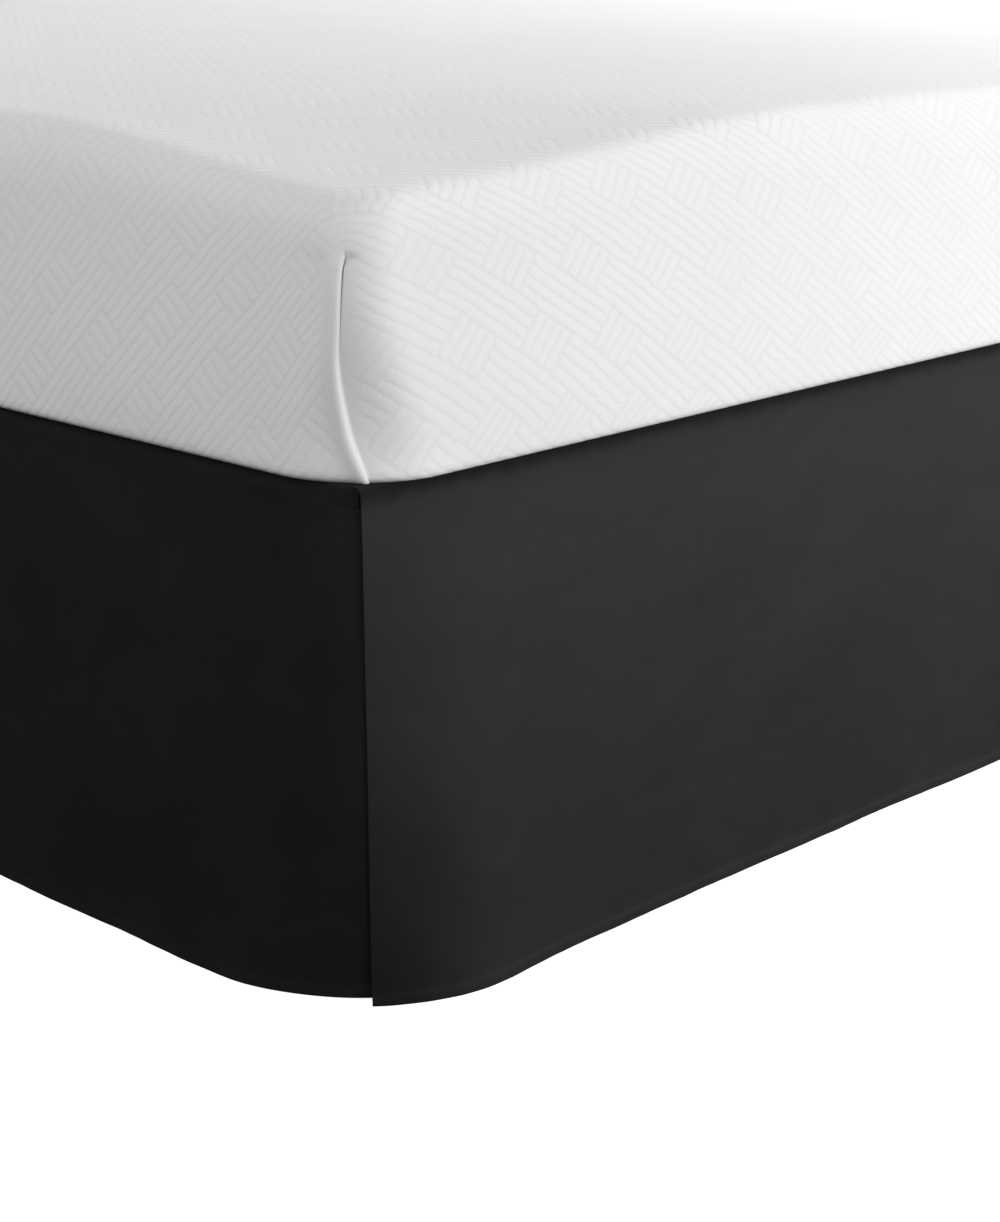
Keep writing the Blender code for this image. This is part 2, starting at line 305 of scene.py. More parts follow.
class Finish:
    """A procedural material and short calls that add its nodes."""

    def __init__(self, name):
        self.material = bpy.data.materials.new(name)
        self.material.use_nodes = True
        self.tree = self.material.node_tree
        self.shader = self.tree.nodes["Principled BSDF"]

    def node(self, kind, inputs=(), **settings):
        node = self.tree.nodes.new(kind)
        for key, value in settings.items():
            setattr(node, key, value)
        for key, value in dict(inputs).items():
            self.feed(node.inputs[key], value)
        return node

    def feed(self, socket, value):
        if isinstance(value, bpy.types.NodeSocket):
            self.tree.links.new(value, socket)
        else:
            socket.default_value = value

    def surface(self, **values):
        """Feeds the shader's own sockets, with numbers, colours or other nodes' outputs."""
        for key, value in values.items():
            self.feed(self.shader.inputs[key.replace("_", " ")], value)

    def tint(self, share, dark, light):
        """The surface's colour: dark where share is 0 and light where it is 1."""
        node = self.node("ShaderNodeMix", {0: share, 6: (*dark, 1.0), 7: (*light, 1.0)},
                         data_type="RGBA")
        self.surface(Base_Color=node.outputs[2])

    def math(self, operation, *values):
        return self.node("ShaderNodeMath", enumerate(values), operation=operation).outputs[0]

    def weigh(self, *terms):
        """The sum of values, each times its weight."""
        parts = [self.math("MULTIPLY", value, weight) for value, weight in terms]
        total = parts[0]
        for part in parts[1:]:
            total = self.math("ADD", total, part)
        return total

    def blend(self, share, a, b):
        """The number a where share is 0 and b where it is 1."""
        return self.math("ADD", a, self.math("MULTIPLY", share, self.math("SUBTRACT", b, a)))

    def ramp(self, value, low, high, bottom=0.0, top=1.0):
        """Softly from bottom, where the value is low, to top, where it is high."""
        return self.node("ShaderNodeMapRange", enumerate((value, low, high, bottom, top)),
                         interpolation_type="SMOOTHSTEP").outputs[0]

    def position(self):
        return self.node("ShaderNodeTexCoord").outputs["Object"]

    def layout(self):
        return self.node("ShaderNodeUVMap", uv_map="cloth").outputs[0]

    def parts(self, vector):
        return self.node("ShaderNodeSeparateXYZ", {0: vector}).outputs

    def vector_math(self, operation, vector, other):
        """other is a number where the operation is SCALE, and else a vector."""
        return self.node("ShaderNodeVectorMath",
                         {0: vector, "Scale" if operation == "SCALE" else 1: other},
                         operation=operation).outputs[0]

    def stretch(self, vector, scale, turn=0.0):
        return self.node("ShaderNodeMapping", {"Vector": vector, "Rotation": (0.0, 0.0, turn),
                                               "Scale": scale}).outputs[0]

    def noise(self, vector, scale, detail=2.0, roughness=0.5, output=0):
        """A number, or a colour where output is 1."""
        return self.node("ShaderNodeTexNoise", {"Vector": vector, "Scale": scale, "Detail": detail,
                                                "Roughness": roughness}).outputs[output]

    def drift(self, vector, scale, reach):
        """A small shift that changes its way and length from place to place."""
        centred = self.vector_math("SUBTRACT", self.noise(vector, scale, output=1), (0.5,) * 3)
        return self.vector_math("SCALE", centred, reach)

    def weave(self, layout, threads_per_metre):
        """Height of a plain weave: warp and weft pass over each other in turn."""
        x, y, _ = self.parts(self.vector_math("SCALE", layout, threads_per_metre))
        parity = self.math("ADD", self.math("FLOOR", x), self.math("FLOOR", y))
        over = self.math("MODULO", self.math("ABSOLUTE", parity), 2.0)
        across, along = [self.math("SINE", self.math("MULTIPLY", self.math("FRACT", part), math.pi))
                         for part in (x, y)]
        return self.blend(self.math("GREATER_THAN", over, 0.5), across, along)

    def bump(self, height, depth, normal=None):
        """Raises the surface by up to depth metres, over another bump's normal."""
        node = self.node("ShaderNodeBump", {"Distance": depth, "Height": height})
        if normal:
            self.feed(node.inputs["Normal"], normal)
        return node.outputs[0]


# The mattress cover's basket pattern: bands of long ridges, broken by blocks of cross ridges.
BAND = 0.0318                     # a band's width
BLOCK = 0.035                     # a block's length in its band
BLOCK_EVERY = 0.1170
RIDGES = 4                        # in a band, and in a block
RIDGE_END = 0.0035                # a ridge sinks to its end over this length
GROOVE = 2.2                      # sharpness of the grooves between ridges
PATTERN_TURN = math.radians(54)
PATTERN_ALONG = 0.3253            # how far the pattern is shifted along its bands
PATTERN_ACROSS = 1.1666           # and across them
WAVER = ((14.0, 0.006), (130.0, 0.0034))    # the ridges' unevenness, coarse and fine: scale, reach


def ridge(finish, count, to_end, length):
    """Puffed ridges between narrow grooves. to_end is the share of length to a ridge's end."""
    share = finish.math("SUBTRACT", finish.math("MULTIPLY", finish.math("FRACT", count), 2.0), 1.0)
    hollow = finish.math("POWER", finish.math("ABSOLUTE", share), GROOVE)
    return finish.math("MULTIPLY", finish.math("SUBTRACT", 1.0, hollow),
                       finish.ramp(to_end, 0.0, RIDGE_END / length))


def basket_pattern(finish, layout):
    """Height of the cover's puffed lines."""
    u, v, _ = finish.parts(layout)
    cosine, sine = math.cos(PATTERN_TURN), math.sin(PATTERN_TURN)
    along = finish.math("ADD", finish.weigh((u, cosine), (v, sine)), PATTERN_ALONG)
    across = finish.math("ADD", finish.weigh((v, cosine), (u, -sine)), PATTERN_ACROSS)
    band = finish.math("DIVIDE", across, BAND)
    half_step = finish.math("MULTIPLY", finish.math("FLOOR", band), 0.5)
    row = finish.math("ADD", finish.math("DIVIDE", along, BLOCK_EVERY), half_step)
    in_band, in_row = finish.math("FRACT", band), finish.math("FRACT", row)
    block = BLOCK / BLOCK_EVERY
    to_block = finish.math("MINIMUM", finish.math("SUBTRACT", in_row, block),
                           finish.math("SUBTRACT", 1.0, in_row))
    to_band = finish.math("MINIMUM", in_band, finish.math("SUBTRACT", 1.0, in_band))
    long_ridges = ridge(finish, finish.math("MULTIPLY", in_band, RIDGES), to_block, BLOCK_EVERY)
    cross_ridges = ridge(finish, finish.math("MULTIPLY", in_row, RIDGES * BLOCK_EVERY / BLOCK),
                         to_band, BAND)
    return finish.blend(finish.math("LESS_THAN", in_row, block), long_ridges, cross_ridges)


def mattress_cover():
    """White knit with a basket pattern of puffed lines, whose grooves are painted a little darker
    as shade.
    """
    finish = Finish("mattress_cover_knit")
    layout = finish.layout()
    moved = layout
    for scale, reach in WAVER:
        moved = finish.vector_math("ADD", moved, finish.drift(layout, scale, reach))
    shown = finish.node("ShaderNodeAttribute", attribute_name="pattern").outputs["Fac"]
    patchy = finish.ramp(finish.noise(layout, scale=9.0), 0.2, 0.75, bottom=0.65)
    height = finish.math("MULTIPLY", basket_pattern(finish, moved),
                         finish.math("MULTIPLY", shown, patchy))
    yarn = finish.noise(layout, scale=700.0, detail=3.0, roughness=0.6)
    slub = finish.noise(finish.stretch(layout, (1.0, 0.3, 1.0), turn=0.9), scale=420.0)
    puff = finish.bump(height, depth=0.00026)
    # painted shade: the colour is darker where the puffed lines sink into their grooves
    finish.tint(finish.weigh((height, 0.75), (yarn, 0.25)),
                dark=(0.770, 0.770, 0.772), light=(0.820, 0.820, 0.820))
    finish.surface(Normal=finish.bump(finish.math("ADD", yarn, slub), depth=0.00016, normal=puff),
                   Roughness=0.85, Specular_IOR_Level=0.25, Sheen_Weight=0.08,
                   Sheen_Roughness=0.5)
    return finish.material


RAGGED = 0.004                    # unevenness of the edges of the hem's lighter tone and of the painted shade under the seam
HEM_SHADE = (0.003, 0.012)        # the hem's lightness ends between these heights over its edge
SEAM_PAINTED_SHADE = (0.014, 0.002)       # painted shade under the mattress: the colour darkens between these depths under the seam


def skirt_cloth():
    """Black plain-woven microfibre with a soft bloom, rougher right under its seam, where its
    colour is painted darker as shade under the mattress, and a little lighter in its hem."""
    finish = Finish("skirt_microfibre_black")
    layout = finish.layout()
    position = finish.position()
    weave = finish.weave(layout, threads_per_metre=2300.0)
    slub = finish.noise(layout, scale=900.0, roughness=0.6)
    blotch = finish.noise(position, scale=11.0, detail=4.0, roughness=0.55)
    worn = finish.ramp(blotch, 0.30, 0.72)
    ragged = finish.blend(finish.noise(layout, scale=60.0, detail=3.0), -RAGGED, RAGGED)
    height = finish.math("ADD", finish.parts(layout)[1], ragged)
    in_hem = finish.ramp(height, *[HEM_CLEARANCE + up for up in HEM_SHADE], 1.0, 0.0)
    # painted shade under the mattress: 1 below the band, 0 right under the seam; it darkens the
    # colour and raises the roughness
    clear_of_painted_seam_shade = finish.ramp(height, *[SEAM_Z - down for down in SEAM_PAINTED_SHADE], 1.0, 0.0)
    tone = finish.weigh((worn, 0.45), (slub, 0.20), (in_hem, 0.35))
    finish.tint(finish.math("MULTIPLY", tone, clear_of_painted_seam_shade),
                dark=(0.0066, 0.0066, 0.0067), light=(0.0122, 0.0122, 0.0123))
    broad = finish.bump(finish.noise(position, scale=9.0, detail=3.0, roughness=0.55), depth=0.0034)
    slubby = finish.bump(slub, depth=0.00006, normal=broad)
    bloom = finish.ramp(blotch, 0.25, 0.75, bottom=0.51, top=0.58)
    finish.surface(Normal=finish.bump(weave, depth=0.00005, normal=slubby),
                   Roughness=finish.blend(clear_of_painted_seam_shade, 0.97, bloom),
                   Specular_IOR_Level=0.20, Sheen_Weight=0.03, Sheen_Roughness=0.45)
    return finish.material


def deck_cloth():
    """White plain cotton blend."""
    finish = Finish("deck_cotton_white")
    layout = finish.layout()
    weave = finish.weave(layout, threads_per_metre=1500.0)
    slub = finish.noise(layout, scale=500.0, detail=3.0, roughness=0.6)
    finish.tint(slub, dark=(0.74, 0.73, 0.71), light=(0.84, 0.83, 0.81))
    finish.surface(Normal=finish.bump(weave, 0.00008, finish.bump(slub, 0.00012)),
                   Roughness=0.88, Specular_IOR_Level=0.25, Sheen_Weight=0.05)
    return finish.material


def foundation_cloth():
    """Light grey upholstery cloth with a coarse weave."""
    finish = Finish("foundation_weave_grey")
    layout = finish.layout()
    weave = finish.weave(layout, threads_per_metre=620.0)
    slub = finish.noise(layout, scale=260.0, detail=3.0, roughness=0.6)
    cloudy = finish.noise(finish.position(), scale=4.0)
    finish.tint(finish.weigh((weave, 0.3), (cloudy, 0.2), (slub, 0.5)),
                dark=(0.47, 0.46, 0.44), light=(0.68, 0.67, 0.65))
    finish.surface(Normal=finish.bump(weave, 0.0003, finish.bump(slub, 0.0003)),
                   Roughness=0.9, Specular_IOR_Level=0.25, Sheen_Weight=0.06)
    return finish.material


def leg_wood():
    """Dark stained wood, grain up the leg, satin lacquer."""
    finish = Finish("leg_wood_dark")
    stretched = finish.stretch(finish.position(), (1.0, 1.0, 0.07))
    grain = finish.noise(stretched, scale=260.0, detail=5.0, roughness=0.6)
    rings = finish.node("ShaderNodeTexWave", {"Vector": stretched, "Scale": 22.0,
                                              "Distortion": 6.0, "Detail": 3.0,
                                              "Detail Scale": 1.5}).outputs["Fac"]
    finish.tint(finish.weigh((grain, 0.6), (rings, 0.4)),
                dark=(0.016, 0.010, 0.007), light=(0.070, 0.043, 0.029))
    finish.surface(Normal=finish.bump(grain, depth=0.00015),
                   Roughness=finish.ramp(grain, 0.3, 0.7, bottom=0.36, top=0.5),
                   Specular_IOR_Level=0.5, Coat_Weight=0.15, Coat_Roughness=0.25)
    return finish.material


# ---- mattress ----------------------------------------------------------------------------------

def section_knots():
    """The section with its arc length from the bottom rim first."""
    knots, length, before = [], 0.0, None
    for inset, edge_share, crown_share in MATTRESS_SECTION:
        height = edge_share * MATTRESS_EDGE_HEIGHT + crown_share * MATTRESS_CROWN
        if before:
            length += math.hypot(inset - before[0], height - before[1])
        before = (inset, height)
        knots.append((length, inset, edge_share, crown_share))
    return knots


SECTION = section_knots()
section_at = track(SECTION)
TO_EDGE = SECTION[EDGE_ROW][0]            # from the bottom rim to the edge, over the cloth
SPAN_X = SECTION[-1][0] - TO_EDGE         # from the edge to the middle, over the cloth
SPAN_Y = SPAN_X + (MATTRESS_LENGTH - MATTRESS_WIDTH) / 2

# The fitted cover's corner fold. Its line: height over the cloth, place along the corner, which
# is over 0 on the side and under 0 on the foot.
FOLD_TOP = 0.1530
FOLD_LINE = track((
    (0.000, 0.0052),
    (0.0024, 0.0040),
    (0.0141, -0.0012),
    (0.0279, -0.0068),
    (0.0423, -0.0104),
    (0.0578, -0.0130),
    (0.0703, -0.0145),
    (0.0843, -0.0150),
    (0.1055, -0.0139),
    (0.1256, -0.0129),
    (0.1450, -0.0112),
    (0.1544, -0.0086),
    (0.1715, -0.0080),
    (0.1950, -0.0050),
    (0.2500, 0.0000),
    (0.9000, 0.0000),
))
# Across the fold: distance from its line, then the lip's slide and push, the groove's slide and
# push, all in millimetres.
FOLD_SECTION = track((
    (-60.0, 0.0, 0.0, 0.0, 0.0),
    (-34.0, 0.0, -0.5, 0.0, 0.0),
    (-20.0, 0.0, -1.1, 0.0, 0.0),
    (-12.0, 0.0, -0.9, 0.0, 0.0),
    (-7.0, 0.0, 0.5, 0.0, 0.0),
    (-4.2, 0.2, 1.9, 0.0, 0.0),
    (-2.2, 0.8, 2.8, 0.0, 0.0),
    (-1.0, 1.6, 2.7, 0.0, 0.0),
    (0.0, 2.4, 1.7, 0.0, -0.2),
    (0.5, 2.5, 0.5, -0.3, -1.6),
    (1.0, 2.1, -0.3, -0.5, -2.6),
    (1.6, 1.5, -0.5, -0.3, -1.9),
    (2.4, 0.9, -0.6, 0.0, -0.8),
    (4.0, 0.4, -0.7, 0.0, -0.2),
    (8.0, 0.1, -0.7, 0.0, 0.0),
    (14.0, 0.0, -0.6, 0.0, 0.0),
    (24.0, 0.0, -0.3, 0.0, 0.0),
    (36.0, 0.0, 0.0, 0.0, 0.0),
    (60.0, 0.0, 0.0, 0.0, 0.0),
))
# Down the fold: share of its length from the top, strength of the lip, of the groove.
FOLD_STRENGTH = track((
    (-1.00, 0.0, 0.0),
    (-0.25, 0.0, 0.0),
    (-0.05, 0.0, 0.0),
    (0.00, 0.30, 0.25),
    (0.04, 0.85, 1.10),
    (0.10, 0.95, 1.15),
    (0.22, 1.00, 0.80),
    (0.32, 1.05, 0.30),
    (0.55, 1.10, 0.30),
    (0.85, 1.05, 0.30),
    (0.95, 0.90, 0.30),
    (1.00, 0.25, 0.20),
))
FOLD_FADE = 0.090                 # the fold's line runs out of true this far round the corner
POCKET_ALONG, POCKET_BELOW = 0.0045, 0.004    # place of the dent at the fold's top
POCKET_RADIUS, POCKET_DEPTH = 0.0065, 0.0028
HOLLOW = 0.0055                   # how deep the cover lies beside the fold, low on the side
HOLLOW_REACH = 0.115
HOLLOW_EDGE = 0.004               # it starts as softly as this beside the fold's line
HOLLOW_DOWN = (0.30, 0.85)        # and grows between these shares of the fold's length
HOLLOW_FOOT = 0.02                # and ends over this height above the bottom rim
SLIDE_FADE = 0.06                 # the fold's slide fades out this near the middle of a side
# Each corner's fold: shift of its top, lean of its line, strength.
CORNER_FOLDS = {
    (1, -1): (0.000, 1.00, 1.00),
    (-1, -1): (-0.012, -0.55, 0.92),
    (1, 1): (-0.020, 0.75, 0.85),
    (-1, 1): (-0.006, -0.80, 0.95),
}
CORNER_TIGHTER = 0.034            # how much smaller the plan radius gets higher up
TIGHTER_HEIGHTS = (0.02, 0.13)    # between these heights
TIGHTER_INSETS = (0.02, 0.14)     # and less so between these, on the top
# The filling's unevenness: scale across, scale up, shift up, depth.
UNEVEN = ((5.5, 7.0, 3.0, 0.0016), (16.0, 18.0, 0.0, 0.0004))
UNEVEN_FOOT = 0.03                # it fades out over this height above the bottom rim

# How far the cover's pattern is pulled along each side on the way down.
PULL_ON_SIDE = {1: 0.0, -1: 0.30}
PULL_ON_END = {-1: 0.25, 1: -0.18}
# How it is drawn askew on the right side, down it and along it: the factors a, b, c and d of
# (a + b * down + c * span) * down + d * span ** 2, with the span from the foot.
DRAWN_DOWN = (-0.1165, 0.211, 0.537, -0.163)
DRAWN_ALONG = (-0.3755, 2.001, -0.102, -0.101)
DRAWN_SPAN = 0.75                 # it grows only this far from the foot
DRAWN_NEAR = (0.15, 0.70)         # and from one of these x to the other
PLAIN_ON_SIDE = (0.016, 0.006)    # the pattern fades out from here to here beside a fold,
PLAIN_ON_END = (0.012, 0.006)     # on its other side,
PLAIN_ABOVE, PLAIN_BELOW = 0.012, 0.004       # and from above its top to a little below it
MERGE_ADDED, MERGE_LEAST = 0.045, 0.002       # half width in which side and end merge over it
FLATTER_ON_TOP = 0.45             # it lies this much flatter on the top
FLATTER_OVER = 0.05               # and gets so over this width of the edge
UNROLLED_OVER = 0.05              # below the edge, until the layout runs straight on round a corner

# The cover's grid: first step beside a corner, growth of the steps, longest step.
GRID = (0.0005, 1.105, 0.026)
ROW_STEP, FINE_ROW_STEP = 0.0042, 0.0022      # of its rows down the sides, fine by a fold's top
FINE_ROWS = 0.012                 # so near to it
EVEN_ROWS_UNTIL = 0.012           # the height at which the rows by the bottom rim take over
RIM_ROWS = (0.0095, 0.0065, 0.0042, 0.0024, 0.0012, 0.0)


def corner_radius(inset, height):
    """The cover is drawn tight round the corners, so that they are sharper higher up."""
    tighter = smooth(*TIGHTER_HEIGHTS, height) * (1 - smooth(*TIGHTER_INSETS, inset))
    return MATTRESS_CORNER + CONTOUR_ROUNDING * inset - CORNER_TIGHTER * tighter


def outline_point(along, inset, inward, height):
    """A point of the cover's outline in the corner where x and y are over 0, and the way it faces.
    along is the distance from the middle of the corner: over 0 on the side, under 0 on the end."""
    half_x = MATTRESS_WIDTH / 2 - inset
    half_y = MATTRESS_LENGTH / 2 - inset
    radius = min(corner_radius(inset, height), half_x)
    arc = radius * math.pi / 4
    if abs(along) < arc:
        turn = math.pi / 4 * (1 - along / arc)
        x = half_x - radius + radius * math.cos(turn)
        y = half_y - radius + radius * math.sin(turn)
        return x, y, math.cos(turn), math.sin(turn)
    if along > 0:
        share = (along - arc) / (SPAN_Y - inward - arc)
        return half_x, (half_y - radius) * (1 - share), 1.0, 0.0
    share = (-along - arc) / (SPAN_X - inward - arc)
    return (half_x - radius) * (1 - share), half_y, 0.0, 1.0


def fold_move(corner, along, height):
    """Slide along the outline and push outwards that the corner's fold gives."""
    top_shift, lean, strength = CORNER_FOLDS[corner]
    top = FOLD_TOP + top_shift
    offset = lean * FOLD_LINE(height - top_shift)[0] * bump(along, FOLD_FADE)
    down = (top - height) / top
    lip, groove = FOLD_STRENGTH(down)
    lip_slide, lip_push, groove_slide, groove_push = FOLD_SECTION(along * 1000)
    slide = (lip * lip_slide + groove * groove_slide) * strength / 1000
    push = (lip * lip_push + groove * groove_push) * strength / 1000
    from_pocket = math.hypot(along - POCKET_ALONG, height - top + POCKET_BELOW)
    push -= POCKET_DEPTH * strength * bump(from_pocket, POCKET_RADIUS)
    if along > 0:
        beside = smooth(0.0, HOLLOW_EDGE, along) * (1 - min(along / HOLLOW_REACH, 1.0)) ** 2
        low_down = smooth(*HOLLOW_DOWN, down) * smooth(0.0, HOLLOW_FOOT, height)
        push -= HOLLOW * strength * beside * low_down
    return offset + slide, push


def mattress_point(corner, along, height):
    """A point of the cover. height is the way over the cloth from the bottom rim."""
    inset, edge_share, crown_share = section_at(height)
    inward = max(height - TO_EDGE, 0.0)
    slide, push = fold_move(corner, along, height)
    reach = (SPAN_Y if along > 0 else SPAN_X) - inward
    slide *= smooth(0.0, SLIDE_FADE, reach - abs(along))
    x, y, face_x, face_y = outline_point(along + slide, inset, inward, height)
    step = 0.002
    below, above = section_at(max(height - step, 0.0)), section_at(height + step)
    rise = (above[1] - below[1]) * MATTRESS_EDGE_HEIGHT + (above[2] - below[2]) * MATTRESS_CROWN
    run = above[0] - below[0]
    length = math.hypot(rise, run) or 1.0
    from_corner = math.hypot((MATTRESS_WIDTH / 2 - x) / CORNER_DROP_REACH_X,
                             (MATTRESS_LENGTH / 2 - y) / CORNER_DROP_REACH_Y)
    edge = MATTRESS_EDGE_HEIGHT
    edge -= MATTRESS_CORNER_DROP * edge_share ** 2 * bump(from_corner, 1.0)
    z = MATTRESS_BOTTOM + edge_share * edge + crown_share * MATTRESS_CROWN
    x, y = corner[0] * x, corner[1] * y
    uneven = sum(noise.noise(Vector((x * across, y * across, z * up + shift))) * depth
                 for across, up, shift, depth in UNEVEN)
    push += uneven * smooth(0.0, UNEVEN_FOOT, height)
    x += corner[0] * face_x * push * rise / length
    y += corner[1] * face_y * push * rise / length
    z += push * run / length
    return x, y, z


def drawn_askew(point, down):
    """How the cover is drawn askew on its right side: shifts down it and along it."""
    span = min(max(point[1] + MATTRESS_LENGTH / 2, 0.0), DRAWN_SPAN)
    nearby = smooth(*DRAWN_NEAR, point[0])
    return [nearby * ((a + b * down + c * span) * down + d * span ** 2)
            for a, b, c, d in (DRAWN_DOWN, DRAWN_ALONG)]


def cover_layout(corner, along, height, on_side, point):
    """Where a point lies on the flat cover, for its pattern. on_side is 1 where it belongs to the
    side's cloth and 0 where it belongs to the end's."""
    down = TO_EDGE - height
    at_top, on_face = drawn_askew(point, 0.0), drawn_askew(point, max(down, 0.0))
    if down <= 0:
        return point[0] + at_top[0], point[1] + at_top[1]
    inset = SECTION[EDGE_ROW][1]
    x, y, _, _ = outline_point(along, inset, 0.0, TO_EDGE)
    half_x, half_y = MATTRESS_WIDTH / 2 - inset, MATTRESS_LENGTH / 2 - inset
    radius = corner_radius(inset, TO_EDGE)
    arc = radius * math.pi / 4
    unrolled = smooth(0.0, UNROLLED_OVER, down)
    side_y = y if along > arc else half_y - radius + arc - along
    end_x = x if along < -arc else half_x - radius + arc + along
    side_x, side_y = mix((x, y), (half_x, side_y), unrolled)
    end_x, end_y = mix((x, y), (end_x, half_y), unrolled)
    side = (corner[0] * (side_x + down) + on_face[0],
            corner[1] * side_y + PULL_ON_SIDE[corner[0]] * down + on_face[1])
    end = (corner[0] * end_x + PULL_ON_END[corner[1]] * down + at_top[0],
           corner[1] * (end_y + down) + at_top[1])
    return mix(end, side, on_side)


def growing_offsets(span):
    """Offsets from an edge to the middle: close together at the edge, then evenly spread."""
    step, growth, longest = GRID
    offsets = [0.0]
    while step < longest:
        offsets.append(offsets[-1] + step)
        step *= growth
    rest = span - offsets[-1]
    count = max(round(rest / longest), 1)
    return offsets + [offsets[-1] + rest * (i + 1) / count for i in range(count)]


def side_heights():
    """Heights over the cloth of the rows on the mattress's sides, from the edge down."""
    heights, height = [], TO_EDGE
    while height > EVEN_ROWS_UNTIL:
        heights.append(height)
        near_top = abs(height - FOLD_TOP) < FINE_ROWS
        height -= FINE_ROW_STEP if near_top else ROW_STEP
    return heights + list(RIM_ROWS)


def make_mattress(mat):
    """The filled cover, as a grid bent into a box: its lines crowd at the corner folds."""
    lines_x, lines_y = [[(-1, offset) for offset in offsets]
                        + [(1, offset) for offset in reversed(offsets[:-1])]
                        for offsets in (growing_offsets(SPAN_X), growing_offsets(SPAN_Y))]
    heights = side_heights()
    bm = bmesh.new()
    layout = bm.loops.layers.uv.new("cloth")
    pattern = bm.verts.layers.float.new("pattern")
    info = {}                      # per vertex: corner, along, height

    def add_vert(corner, along, height):
        vert = bm.verts.new(mattress_point(corner, along, height))
        info[vert] = (corner, along, height)
        return vert

    top, under = {}, {}
    for i, (side_x, from_x) in enumerate(lines_x):
        for j, (side_y, from_y) in enumerate(lines_y):
            inward = min(from_x, from_y)
            along = from_y - inward if from_x <= from_y else inward - from_x
            top[i, j] = add_vert((side_x, side_y), along, TO_EDGE + inward)
            if inward > 0:
                rim = MATTRESS_SECTION[0][0]
                inset = rim + inward * (MATTRESS_WIDTH / 2 - rim) / SPAN_X
                x, y, _, _ = outline_point(along, inset, inward, 0.0)
                vert = bm.verts.new((side_x * x, side_y * y, MATTRESS_BOTTOM))
                info[vert] = ((side_x, side_y), along, 0.0)
                under[i, j] = vert
    last_x, last_y = len(lines_x) - 1, len(lines_y) - 1
    perimeter = [(last_x, j) for j in range(last_y)]
    perimeter += [(i, last_y) for i in range(last_x, 0, -1)]
    perimeter += [(0, j) for j in range(last_y, 0, -1)]
    perimeter += [(i, 0) for i in range(last_x)]
    columns = []
    for i, j in perimeter:
        corner, along, _ = info[top[i, j]]
        column = [top[i, j]] + [add_vert(corner, along, height) for height in heights[1:]]
        under[i, j] = column[-1]
        columns.append(column)
    for k, column in enumerate(columns):
        after = columns[(k + 1) % len(columns)]
        for high in range(len(heights) - 1):
            bm.faces.new((column[high + 1], after[high + 1], after[high], column[high]))
    for i in range(last_x):
        for j in range(last_y):
            bm.faces.new((top[i, j], top[i + 1, j], top[i + 1, j + 1], top[i, j + 1]))
            bm.faces.new((under[i, j], under[i, j + 1], under[i + 1, j + 1], under[i + 1, j]))
    paint_cover(bm, info, layout, pattern)
    return add_object("mattress_cover", bm, mat)


def paint_cover(bm, info, layout, pattern):
    """The cover's flat layout, and where its pattern shows: not in the corner folds."""
    for vert, (corner, along, height) in info.items():
        top = FOLD_TOP + CORNER_FOLDS[corner][0]
        beside = smooth(*PLAIN_ON_SIDE, along) if along > 0 else smooth(*PLAIN_ON_END, -along)
        on_top = smooth(TO_EDGE, TO_EDGE + FLATTER_OVER, height)
        shown = 1 - beside * smooth(top + PLAIN_ABOVE, top - PLAIN_BELOW, height)
        vert[pattern] = shown * (1 - FLATTER_ON_TOP * on_top)
    for face in bm.faces:
        facts = [info[vert] for vert in face.verts]
        middle_along = sum(along for _, along, _ in facts) / len(facts)
        middle_height = sum(height for _, _, height in facts) / len(facts)
        for loop in face.loops:
            corner, along, height = info[loop.vert]
            top = FOLD_TOP + CORNER_FOLDS[corner][0]
            if middle_height < top:
                on_side = 1.0 if middle_along > 0 else 0.0
            else:
                # Over the fold, side and end run into each other, more widely higher up.
                width = MERGE_ADDED * (1 - smooth(0.0, TO_EDGE - top, TO_EDGE - height))
                width += MERGE_LEAST
                on_side = smooth(-width, width, along)
            loop[layout].uv = cover_layout(corner, along, height, on_side, loop.vert.co)


# ---- skirt -------------------------------------------------------------------------------------

BEND_STEPS = 7
DROP_STEPS = 54                   # rows from the bend to the hem
# Rows of the hem: millimetres below its upper edge, thickness.
HEM_ROWS = (
    (-2.6, CLOTH),
    (-0.8, CLOTH * 1.12),
    (0.6, HEM_THICKNESS * 0.86),
    (2.0, HEM_THICKNESS * 0.94),
    (4.0, HEM_THICKNESS),
    (6.0, HEM_THICKNESS * 0.98),
    (7.2, HEM_THICKNESS * 0.86),
    (7.8, HEM_THICKNESS * 0.66),
    (8.0, HEM_THICKNESS * 0.40),
)
STITCH_LENGTH, STITCH_GAP, STITCH_RADIUS = 0.0021, 0.0010, 0.00022
STITCH_FALL = 1 - HEM_DEPTH / DROP + 0.002 / DROP       # 2 mm below the hem's upper edge
# Round a thread: place across it and outwards, in radii.
THREAD_RING = ((0.0, 1.0), (1.0, 0.2), (0.6, -0.8), (-0.6, -0.8), (-1.0, 0.2))
# Along a stitch: share of its length, thickness, and how far it rises in radii.
THREAD_SHAPE = ((0.0, 0.45, -0.9), (0.25, 0.95, 0.0), (0.75, 0.95, 0.0), (1.0, 0.45, -0.9))

CURL = 0.094                      # this much of a side panel curls round the foot corner
CURL_TOP, CURL_HEM = math.radians(7.5), math.radians(42.4)
CORNER_OPENS = 1.6                # power of the fall with which the corners open
EDGE_BOW, EDGE_BOW_HIGH = 0.0027, 0.7         # bow of the free edge, and a power that raises it
SIDE_STEPS = (24, 230, 12)        # a side panel's columns: foot corner, straight, head corner
FOOT_STEPS = (8, 18, 170, 18, 8)  # the foot panel's: flap, corner, straight, corner, flap
